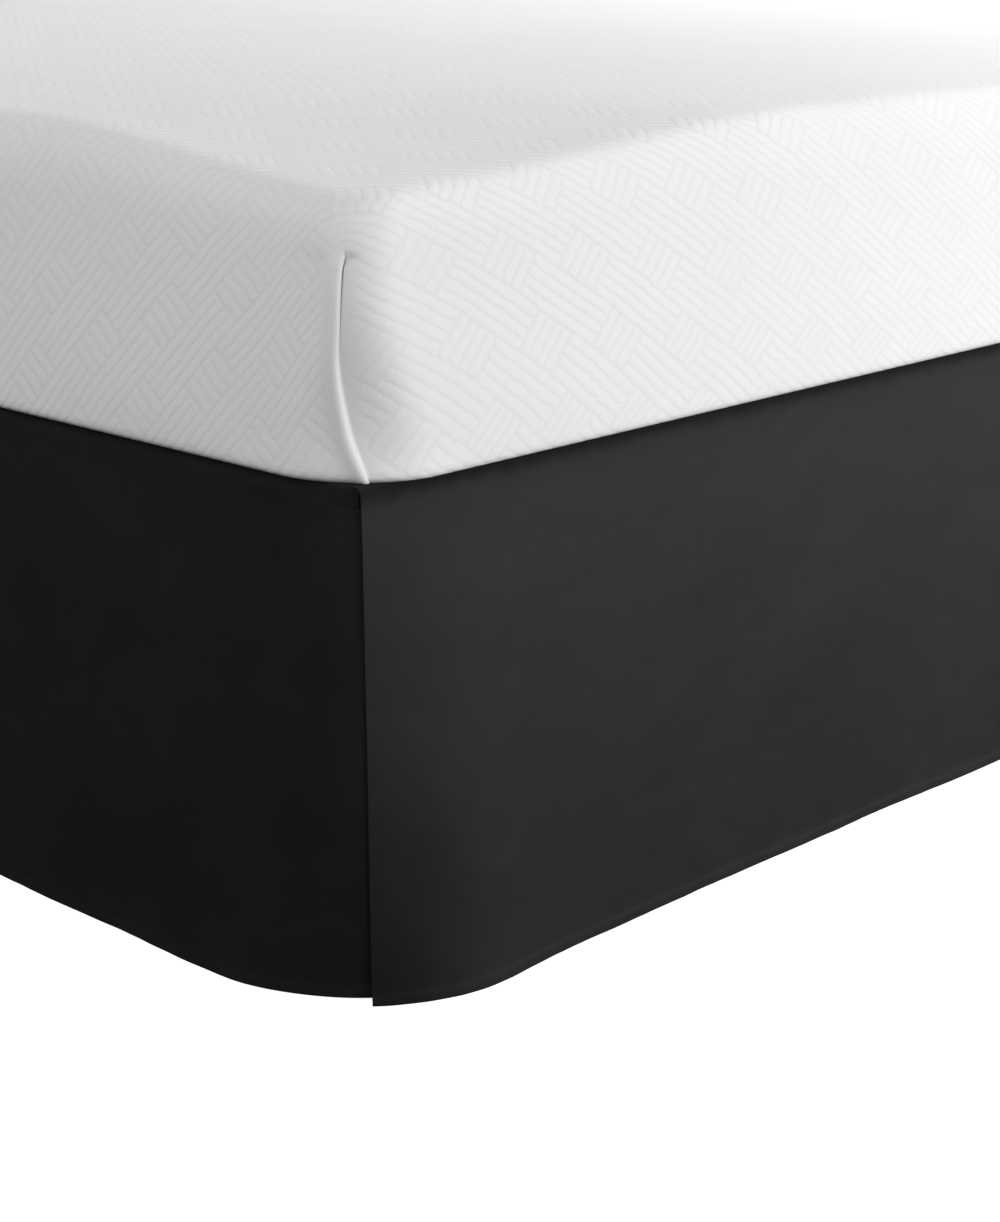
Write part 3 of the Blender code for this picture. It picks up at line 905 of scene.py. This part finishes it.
# Soft ripples of hanging cloth: scale along, scale down, seed, share of the depth.
RIPPLES = ((9.0, 2.1, 0.0, 1.0), (21.0, 5.0, 9.0, 0.5))
RIPPLE_DEPTH, RIPPLE_FULL = 0.0011, 0.25      # full from this share of the drop
PUCKER_DEPTH, PUCKER_FROM, PUCKER_FULL = 0.0005, 0.90, 0.99
PUCKER_ALONG, PUCKER_DOWN, PUCKER_SEED = 55.0, 3.0, 4.0
SIDE_SEED, FOOT_SEED = 2.0, 7.0
FOOT_RIPPLES_END = (0.55, 0.72)   # the foot panel's fade out from here to here, to its corners
TUCK_HANGING, TUCK_IN_HEM = 0.40, 0.36        # shares of the full tuck
TUCK_GROWS = (0.90, 0.96)


def drop_rows():
    """Rows of a drop from seam to hem: inset from the hanging cloth, height, fall, thickness. The
    fall is 0 at the bend and 1 at the hem."""
    rows = [(SEAM_INSET, SEAM_Z, 0.0, CLOTH)]
    for step in range(BEND_STEPS):
        turn = math.pi / 2 * step / BEND_STEPS
        inset = BEND * (1 - math.sin(turn)) - PROUD
        rows.append((inset, SEAM_Z - BEND * (1 - math.cos(turn)), 0.0, CLOTH))
    top = SEAM_Z - BEND
    hem = 1 - HEM_DEPTH / DROP
    millimetre = 0.001 / DROP
    falls = sorted({hem * i / DROP_STEPS for i in range(DROP_STEPS)} | {FLAP_START})
    hanging = [(-PROUD * max(1 - fall / PROUD_UNTIL, 0.0) ** 2, fall, CLOTH) for fall in falls]
    hanging += [(0.0, hem + below * millimetre, thickness) for below, thickness in HEM_ROWS]
    return rows + [(inset, top - fall * (top - HEM_CLEARANCE), fall, thickness)
                   for inset, fall, thickness in hanging]


def corner_at(fall):
    """The radius of the skirt's corners: it opens slowly at first, then fast to the hem."""
    return SKIRT_CORNER_TOP + (SKIRT_CORNER_HEM - SKIRT_CORNER_TOP) * fall ** CORNER_OPENS


def drop_point(station, row, push, lift):
    """A point of hanging cloth: it flares to the hem, where its corner is rounder."""
    inset, z, fall, _ = row
    flare = HEM_FLARE * fall - inset
    radius = corner_at(fall) - inset
    x, y = place(station, SKIRT_HALF_X + flare, SKIRT_HALF_Y + flare, radius)
    x += push * math.cos(station[2])
    y += push * math.sin(station[2])
    return x, y, z + lift * fall


def curl_at(fall):
    """How a side panel turns at the foot corner: turn, radius, and the y where the turn starts."""
    curl = CURL_TOP + (CURL_HEM - CURL_TOP) * fall ** CORNER_OPENS
    radius = CURL / curl
    corner = corner_at(fall)
    split = SPLIT_TOP + (SPLIT_HEM - SPLIT_TOP) * fall
    start = radius * (1 - math.cos(curl) + math.sin(curl))
    start += corner * (math.cos(split) + math.sin(split))
    start += EDGE_BOW * math.sin(math.pi * fall ** EDGE_BOW_HIGH)
    return curl, radius, start - SKIRT_HALF_Y - HEM_FLARE * fall


def side_line(y, fall, inset):
    """How far out a side panel hangs at y near the foot, and how far it is turned there."""
    _, radius, start = curl_at(fall)
    turned = math.asin(min(max((start - y) / (radius - inset), 0.0), 1.0))
    x = SKIRT_HALF_X + HEM_FLARE * fall - radius + (radius - inset) * math.cos(turned)
    return x, turned


def side_place(share, fall, inset):
    """A side panel's place: share is from 0 at its free edge to 1 where it leaves the foot corner,
    2 where it meets the head corner and 3 at its end there."""
    flare = HEM_FLARE * fall
    half_x, half_y = SKIRT_HALF_X + flare, SKIRT_HALF_Y + flare
    curl, radius, start = curl_at(fall)
    head = corner_at(fall)
    if share < 1:
        turn = -curl * (1 - share)
        x = half_x - radius + (radius - inset) * math.cos(turn)
        return x, start + (radius - inset) * math.sin(turn), turn
    if share <= 2:
        return half_x - inset, start + (half_y - head - start) * (share - 1), 0.0
    turn = HEAD_RETURN * (share - 2)
    x = half_x - head + (head - inset) * math.cos(turn)
    return x, half_y - head + (head - inset) * math.sin(turn), turn


def ripple(along, fall, seed):
    """Soft unevenness of hanging cloth, less where the bend holds it, and puckers at the hem."""
    wave = sum(noise.noise(Vector((along * across, fall * down, seed + more))) * depth
               for across, down, more, depth in RIPPLES)
    pucker = noise.noise(Vector((along * PUCKER_ALONG, fall * PUCKER_DOWN, seed + PUCKER_SEED)))
    return (RIPPLE_DEPTH * smooth(0.0, RIPPLE_FULL, fall) * wave
            + PUCKER_DEPTH * smooth(PUCKER_FROM, PUCKER_FULL, fall) * pucker)


def sew_panel(name, columns, rows, alongs, mat, reverse):
    """A panel through columns of points, thicker in its hem, with its flat layout and its row of
    hem stitches. Its columns run so that its face points outwards."""
    if reverse:
        columns, alongs = columns[::-1], alongs[::-1]
    bm = bmesh.new()
    weights = bm.verts.layers.deform.verify()
    thickest = max(row[3] for row in rows)
    grid, flat = [], {}
    for points, along in zip(columns, alongs):
        column = []
        for point, row in zip(points, rows):
            vert = bm.verts.new(point) if point else None
            if vert:
                vert[weights][0] = row[3] / thickest
                flat[vert] = (along, row[1] + row[0])
            column.append(vert)
        grid.append(column)
    skin(bm, grid)
    lay_flat(bm, lambda face, vert: flat[vert])
    sheet = add_object(name, bm, mat)
    thicken(sheet, thickest, offset=0.0, even=True, sharp_angle=60)
    hem_stitches(sheet, columns, rows)
    return sheet


def stitch_row(bm, path, outward, lift):
    """Topstitches along a path of points: short threads that dip at both ends."""
    lengths = [0.0]
    for a, b in zip(path, path[1:]):
        lengths.append(lengths[-1] + (b - a).length)
    start, i = STITCH_GAP, 0
    while start + STITCH_LENGTH < lengths[-1]:
        rings = []
        for share, size, rise in THREAD_SHAPE:
            at = start + share * STITCH_LENGTH
            while lengths[i + 1] < at:
                i += 1
            part = (at - lengths[i]) / (lengths[i + 1] - lengths[i])
            point = path[i].lerp(path[i + 1], part)
            normal = outward[i].lerp(outward[i + 1], part).normalized()
            tangent = (path[i + 1] - path[i]).normalized()
            side = normal.cross(tangent)
            centre = point + normal * (lift + rise * STITCH_RADIUS)
            rings.append([bm.verts.new(centre + (side * a + normal * b) * STITCH_RADIUS * size)
                          for a, b in THREAD_RING])
        skin(bm, rings, closed=True)
        bm.faces.new(reversed(rings[0]))
        bm.faces.new(rings[-1])
        start += STITCH_LENGTH + STITCH_GAP


def add_stitches(sheet, path, outward, lift):
    """Stitches join their sheet."""
    bm = bmesh.new()
    stitch_row(bm, path, outward, lift)
    bmesh.ops.recalc_face_normals(bm, faces=bm.faces)
    lay_flat(bm, lambda face, vert: (vert.co.x + vert.co.y, vert.co.z))
    threads = add_object("threads", bm, sheet.data.materials[0])
    select_only(threads, sheet)
    bpy.ops.object.join()
    sheet.select_set(False)


def hem_stitches(sheet, columns, rows):
    """The hem's row of stitches, from the sheet's own points."""
    row = min(range(len(rows)), key=lambda i: abs(rows[i][2] - STITCH_FALL))
    path, outward = [], []
    for before, column, after in zip(columns[:1] + columns, columns, columns[1:] + columns[-1:]):
        path.append(Vector(column[row]))
        down = Vector(column[row + 1]) - Vector(column[row - 1])
        across = Vector(after[row]) - Vector(before[row])
        outward.append(down.cross(across).normalized())
    add_stitches(sheet, path, outward, rows[row][3] / 2)


def side_drop(name, side, mat):
    """A side panel, from its free edge at the split to its return at the head corner."""
    rows = drop_rows()
    shares = [part + i / count for part, count in enumerate(SIDE_STEPS) for i in range(count)]
    straight = 2 * (SKIRT_HALF_Y - SKIRT_CORNER_HEM)
    columns, alongs = [], []
    for share in shares + [len(SIDE_STEPS)]:
        from_edge = CURL * min(share, 1) + straight * min(max(share - 1, 0), 1)
        from_edge += HEAD_RETURN * SKIRT_CORNER_HEM * max(share - 2, 0)
        along = SKIRT_CORNER_HEM - CURL + from_edge
        lift = -FREE_CORNER_DROP * bump(from_edge, FREE_CORNER_REACH)
        points = []
        for inset, z, fall, _ in rows:
            x, y, turn = side_place(share, fall, inset)
            push = fall ** SWELL_GROWTH * swell(along, SIDE_SWELLS)
            push += ripple(along, fall, SIDE_SEED * side)
            x += push * math.cos(turn)
            y += push * math.sin(turn)
            points.append((side * x, y, z + lift * fall))
        columns.append(points)
        alongs.append(along)
    return sew_panel(name, columns, rows, alongs, mat, reverse=side < 0)


def foot_reach(station, fall):
    """How far a station of the foot panel has turned from the straight foot. Its split follows the
    side panels' leaning free edges."""
    reach = station[2] + math.pi / 2
    split = math.pi / 2 + SPLIT_TOP
    if abs(reach) > split:
        reach += math.copysign((SPLIT_HEM - SPLIT_TOP) * fall, reach)
    else:
        reach *= 1 + (SPLIT_HEM - SPLIT_TOP) / split * fall
    return reach


def tuck_at(fall):
    """The foot panel lies close behind the side panel, and the two hems make it deeper."""
    return TUCK * (TUCK_HANGING + TUCK_IN_HEM * smooth(*TUCK_GROWS, fall))


def behind_side(y, fall):
    """How far out the foot panel's flap may lie, behind the side panel."""
    x, turned = side_line(y, fall, 0.0)
    return x - tuck_at(fall) / math.cos(turned)


def foot_drop(name, mat):
    """The foot panel, which runs on behind each side panel as a flap below the bend."""
    rows = drop_rows()
    split = SPLIT_TOP - SEAM_GAP / SKIRT_CORNER_TOP
    tuck_start = math.pi / 2 + SPLIT_HEM - TUCK_FULL
    keys = [(-1, -1, -math.pi - split - FLAP_TURN), (-1, -1, -math.pi - split),
            (-1, -1, -math.pi / 2), (1, -1, -math.pi / 2), (1, -1, split),
            (1, -1, split + FLAP_TURN)]
    columns, alongs = [], []
    for station in walk(keys, FOOT_STEPS):
        on_flap = abs(station[2] + math.pi / 2) > split + math.pi / 2 + 1e-6
        points = []
        for row in rows:
            fall = row[2]
            reach = foot_reach(station, fall)
            along = station[0] * (SKIRT_HALF_X - SKIRT_CORNER_HEM) + SKIRT_CORNER_HEM * reach
            if on_flap and fall < FLAP_START:
                points.append(None)
                continue
            push = fall ** SWELL_GROWTH * swell(along, FOOT_SWELLS)
            push += ripple(along, fall, FOOT_SEED) * (1 - smooth(*FOOT_RIPPLES_END, abs(along)))
            if fall > 0:
                push -= tuck_at(fall) * bump(max(tuck_start - abs(reach), 0.0), tuck_start)
            turned = (station[0], station[1], reach - math.pi / 2)
            x, y, z = drop_point(turned, row, push, FOOT_SHORTER)
            if on_flap:
                x = math.copysign(min(abs(x), behind_side(y, fall)), x)
            points.append((x, y, z))
        columns.append(points)
        alongs.append(along)
    return sew_panel(name, columns, rows, alongs, mat, reverse=True)


DECK_EDGE = 0.0004                # its first and last rows lie this far inside its outline
DECK_HEM = 0.0076                 # depth of its hem at the head
DECK_HEM_ROWS = (0.0080, 0.0072)  # rows on both sides of the hem's edge
DECK_CORNER_STEPS, DECK_STEPS_ALONG, DECK_STEPS_ACROSS = 12, 30, 40
DECK_ROW_STEP, DECK_CURL_ROWS = 0.008, range(4, 16)     # more rows, beside the drops' curl
STITCHES_IN = 0.0062              # the hem's stitches, from its edge
STITCHES_LENGTH, STITCHES_STEPS = 1.24, 60


def make_deck(name, mat):
    """The flat platform, hemmed at the head, where no drop is sewn to it."""
    inset = SEAM_INSET + SEAM_GAP
    half_x, half_y = SKIRT_HALF_X - inset, SKIRT_HALF_Y - inset
    radius = SKIRT_CORNER_TOP - inset
    stops = [half_y - radius + radius * math.sin(math.pi / 2 * i / DECK_CORNER_STEPS)
             for i in range(DECK_CORNER_STEPS)]
    stops.append(half_y - DECK_EDGE)
    ys = [-y for y in stops] + stops
    ys += [(half_y - radius) * (i / DECK_STEPS_ALONG * 2 - 1) for i in range(1, DECK_STEPS_ALONG)]
    ys += [half_y - in_from_edge for in_from_edge in DECK_HEM_ROWS]
    ys += [i * DECK_ROW_STEP - half_y for i in DECK_CURL_ROWS]
    bm = bmesh.new()
    weights = bm.verts.layers.deform.verify()
    grid = []
    for y in sorted(set(ys)):
        over = max(abs(y) - (half_y - radius), 0.0)
        reach = half_x - radius + math.sqrt(max(radius ** 2 - over ** 2, 0.0))
        reach = min(reach, side_line(y, 0.0, SEAM_INSET)[0] - SEAM_GAP)
        row = []
        for i in range(DECK_STEPS_ACROSS + 1):
            x = reach * (i / (DECK_STEPS_ACROSS // 2) - 1)
            vert = bm.verts.new((x, y, SEAM_Z + CLOTH / 2))
            vert[weights][0] = 1.0 if y > half_y - DECK_HEM else CLOTH / HEM_THICKNESS
            row.append(vert)
        grid.append(row)
    skin(bm, grid)
    lay_flat(bm, lambda face, vert: vert.co.xy)
    deck = add_object(name, bm, mat)
    thicken(deck, HEM_THICKNESS, offset=-1.0, even=False, sharp_angle=50)
    underside = SEAM_Z + CLOTH / 2 - HEM_THICKNESS
    path = [Vector((STITCHES_LENGTH * i / STITCHES_STEPS - STITCHES_LENGTH / 2,
                    half_y - STITCHES_IN, underside)) for i in range(STITCHES_STEPS + 1)]
    add_stitches(deck, path, [Vector((0.0, 0.0, -1.0))] * len(path), 0.0)
    return deck


# ---- foundation --------------------------------------------------------------------------------

WELT_RADIUS = 0.0030
WELT_SIDES = 8
WELT_SUNK = 0.0002                # it keeps this far inside the box's outline
WELT_HEIGHT = 0.55                # of the box's rounded edge, as a share
WALL_INSET = 0.0022               # the cloth lies behind the welts
EDGE_STEPS, WALL_STEPS = 8, 10    # rows of the rounded edges and of the wall between them
BOX_STEPS = (60, 46, 12)          # columns along, across, and round each corner
SLACK_SCALE, SLACK_DEPTH = (7, 7, 9), 0.0007  # of the cloth
SLACK_EDGE = 0.03                 # none at the top and bottom


def foundation_place(station, inset):
    return place(station, FOUNDATION_HALF_X - inset, FOUNDATION_HALF_Y - inset,
                 FOUNDATION_CORNER - inset)


def add_welt(bm, flat, stations, height):
    """A cord in a fold of the cloth, sewn round the box."""
    strands = []
    for side in range(WELT_SIDES):
        angle = 2 * math.pi * side / WELT_SIDES
        inset = WELT_RADIUS * (1 - math.cos(angle)) + WELT_SUNK
        strand = []
        for station in stations:
            x, y = foundation_place(station, inset)
            vert = bm.verts.new((x, y, height + WELT_RADIUS * math.sin(angle)))
            flat[vert] = (x + y, height + WELT_RADIUS * angle)
            strand.append(vert)
        strands.append(strand)
    skin(bm, strands + strands[:1], closed=True)


def foundation_box(name, mat):
    """An upholstered box: border cloth between two welts, flat top and underside."""
    stations = closed_walk(*BOX_STEPS)
    edge = FOUNDATION_EDGE
    tilts = [math.pi / 2 * step / EDGE_STEPS for step in range(EDGE_STEPS + 1)]
    rounded = [(WALL_INSET + edge * (1 - math.sin(tilt)),
                FOUNDATION_BOTTOM + edge * (1 - math.cos(tilt))) for tilt in tilts]
    low, high = FOUNDATION_BOTTOM + edge, FOUNDATION_TOP - edge
    rows = rounded + [(WALL_INSET, low + (high - low) * i / WALL_STEPS)
                      for i in range(1, WALL_STEPS)]
    rows += [(inset, FOUNDATION_TOP + FOUNDATION_BOTTOM - z) for inset, z in reversed(rounded)]
    bm = bmesh.new()
    flat, rings = {}, []
    for inset, z in rows:
        ring, around, before = [], 0.0, None
        held = smooth(0.0, SLACK_EDGE, z - FOUNDATION_BOTTOM)
        held *= smooth(0.0, SLACK_EDGE, FOUNDATION_TOP - z)
        for station in stations:
            x, y = foundation_place(station, inset)
            spot = Vector([value * scale for value, scale in zip((x, y, z), SLACK_SCALE)])
            slack = noise.noise(spot) * SLACK_DEPTH * held
            x += slack * math.cos(station[2])
            y += slack * math.sin(station[2])
            if before:
                around += math.hypot(x - before[0], y - before[1])
            before = (x, y)
            vert = bm.verts.new((x, y, z))
            flat[vert] = (around, z)
            ring.append(vert)
        rings.append(ring)
    skin(bm, rings, closed=True)
    bm.faces.new(reversed(rings[0]))
    bm.faces.new(rings[-1])
    add_welt(bm, flat, stations, FOUNDATION_BOTTOM + edge * WELT_HEIGHT)
    add_welt(bm, flat, stations, FOUNDATION_TOP - edge * WELT_HEIGHT)

    def layout_of(face, vert):
        end = abs(face.normal.z) > 0.9 and len(face.verts) > 4
        return vert.co.xy if end else flat[vert]

    lay_flat(bm, layout_of)
    return add_object(name, bm, mat, 45)


# ---- stage -------------------------------------------------------------------------------------

def softbox(name, spot, target, size, radiance):
    """A lamp that isn't seen itself. radiance is the brightness of its face."""
    width, height = size
    light = bpy.data.lights.new(name, "AREA")
    light.shape = "RECTANGLE"
    light.size = width
    light.size_y = height
    light.energy = radiance * math.pi * width * height
    obj = bpy.data.objects.new(name, light)
    obj.location = spot
    aim = Vector(target) - Vector(spot)
    obj.rotation_euler = aim.to_track_quat("-Z", "Y").to_euler()
    obj.visible_camera = False
    bpy.context.scene.collection.objects.link(obj)


FLOOR_SIZE, FLOOR_GLOW = 60.0, 0.95
SURROUNDINGS_LIGHT = 0.02


def make_stage():
    """A white floor and white surroundings. They hardly light anything: the softboxes do."""
    finish = Finish("floor_white")
    finish.surface(Base_Color=(0.9, 0.9, 0.9, 1.0), Roughness=0.9, Specular_IOR_Level=0.0,
                   Emission_Color=(1.0, 1.0, 1.0, 1.0), Emission_Strength=FLOOR_GLOW)
    select_only()
    bpy.ops.mesh.primitive_plane_add(size=FLOOR_SIZE, location=(0.0, 0.0, 0.0))
    floor = bpy.context.active_object
    floor.name = "floor"
    floor.data.materials.append(finish.material)
    floor.visible_diffuse = False
    floor.visible_glossy = False
    world = bpy.data.worlds.new("studio")
    world.use_nodes = True
    nodes, links = world.node_tree.nodes, world.node_tree.links
    seen, dim = nodes["Background"], nodes.new("ShaderNodeBackground")
    for background, strength in ((seen, 1.0), (dim, SURROUNDINGS_LIGHT)):
        background.inputs[0].default_value = (1.0, 1.0, 1.0, 1.0)
        background.inputs[1].default_value = strength
    path = nodes.new("ShaderNodeLightPath")
    choose = nodes.new("ShaderNodeMixShader")
    links.new(path.outputs["Is Camera Ray"], choose.inputs[0])
    links.new(dim.outputs[0], choose.inputs[1])
    links.new(seen.outputs[0], choose.inputs[2])
    links.new(choose.outputs[0], nodes["World Output"].inputs[0])
    bpy.context.scene.world = world


# Softboxes round the foot corner: name, place, target, size, radiance.
CORNER = (0.55, -0.75, 0.35)
SOFTBOXES = (
    ("back", (-0.4, 3.2, 1.6), (0, 0.8, 0.35), (2.4, 1.6), 8.56),
    ("back_hi", (0.3, 2.8, 2.7), (0.2, 0.3, 0.5), (1.8, 1.4), 4.34),
    ("foot_c", (-0.2, -2.8, 1.35), (0.0, -1.0, 0.35), (1.4, 1.5), 0.74),
    ("foot_right", (1.2, -2.8, 1.35), (0.6, -1.0, 0.35), (1.4, 1.5), 1.79),
    ("left", (-2.8, -0.3, 1.5), (-0.7, -0.3, 0.35), (1.8, 1.6), 1.37),
    ("side_low", (2.9, 0.1, 0.55), (0.76, -0.3, 0.35), (1.4, 0.8), 5.27),
    ("left_front_high", (-0.45, -2.482, 2.2), CORNER, (1.1, 1.2), 3.02),
    ("right_front_low", (2.993, -1.639, 0.55), CORNER, (1.1, 0.8), 2.01),
    ("front_right_mid", (1.439, -3.193, 1.3), CORNER, (1.1, 1.2), 1.25),
    ("front_mid", (0.323, -3.34, 1.3), CORNER, (1.1, 1.2), 1.41),
    ("front_high", (0.376, -2.742, 2.2), CORNER, (1.1, 1.2), 0.41),
    ("right_back_low", (2.802, 0.55, 0.55), CORNER, (1.1, 0.8), 5.4),
    ("back_right_low", (2.221, 1.242, 0.55), CORNER, (1.1, 0.8), 6.66),
    ("right_low", (3.14, -0.523, 0.55), CORNER, (1.1, 0.8), 4.1),
    ("top_back", (0.2, 0.8, 2.6), (0.2, 0.5, 0.4), (1.6, 1.6), 3.26),
)


# ---- everything --------------------------------------------------------------------------------

def main():
    make_camera()
    make_stage()
    for row in SOFTBOXES:
        softbox(*row)
    bpy.context.scene.view_settings.view_transform = "Standard"

    cloth = skirt_cloth()
    right = side_drop("skirt_side_right", 1, cloth)
    left = side_drop("skirt_side_left", -1, cloth)
    foot = foot_drop("skirt_foot", cloth)
    deck = make_deck("skirt_deck", deck_cloth())
    box = foundation_box("foundation_upholstered", foundation_cloth())
    mattress = make_mattress(mattress_cover())

    for piece, node, slot in ((right, "drop_side_right", "skirt_cloth"),
                              (left, "drop_side_left", "skirt_cloth"),
                              (foot, "drop_foot", "skirt_cloth"),
                              (deck, "deck", "deck_cloth"),
                              (box, "foundation", "foundation_cloth"),
                              (mattress, "mattress", "mattress_cover")):
        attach(piece, "root")
        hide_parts(node)
    wood = leg_wood()
    for name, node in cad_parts.items():
        if name.startswith("leg_"):
            for slot in node.material_slots:
                slot.material = wood


main()
